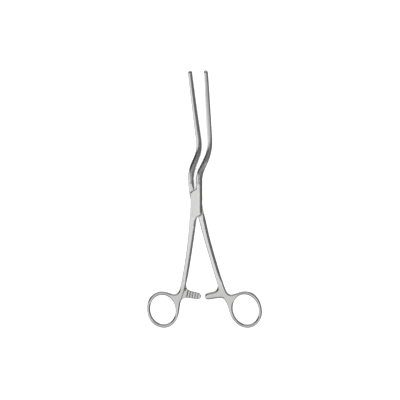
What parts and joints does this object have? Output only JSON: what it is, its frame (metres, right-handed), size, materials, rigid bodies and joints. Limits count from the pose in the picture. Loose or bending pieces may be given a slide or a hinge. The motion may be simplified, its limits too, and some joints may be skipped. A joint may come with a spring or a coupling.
{
  "type": "intestinal clamp",
  "caption": "Ring-handled surgical clamp with a box lock, toothed ratchet bars and long S-curved jaws with cross-serrated gripping faces, for holding bowel closed.",
  "frame": {"origin": "on the hinge axis of the box lock, in the plane of the lock's ground back face", "axes": "+Y from the lock towards the jaw tips, +X to the right as seen from the front, +Z out of the front face along the hinge axis"},
  "size_m": [0.1001, 0.2246, 0.006],
  "materials": {
    "satin_steel": "satin"
  },
  "bodies": {
    "left_ring_half": {"female_half": "satin_steel", "lock_pin": "satin_steel"},
    "right_ring_half": {"male_half": "satin_steel"}
  },
  "joints": [
    {"name": "box_lock_pivot", "type": "hinge", "parent": "left_ring_half", "child": "right_ring_half", "pos_m": [0, 0, 0.003], "axis": [0, 0, 1], "range_deg": [-5.1, 40]}
  ]
}
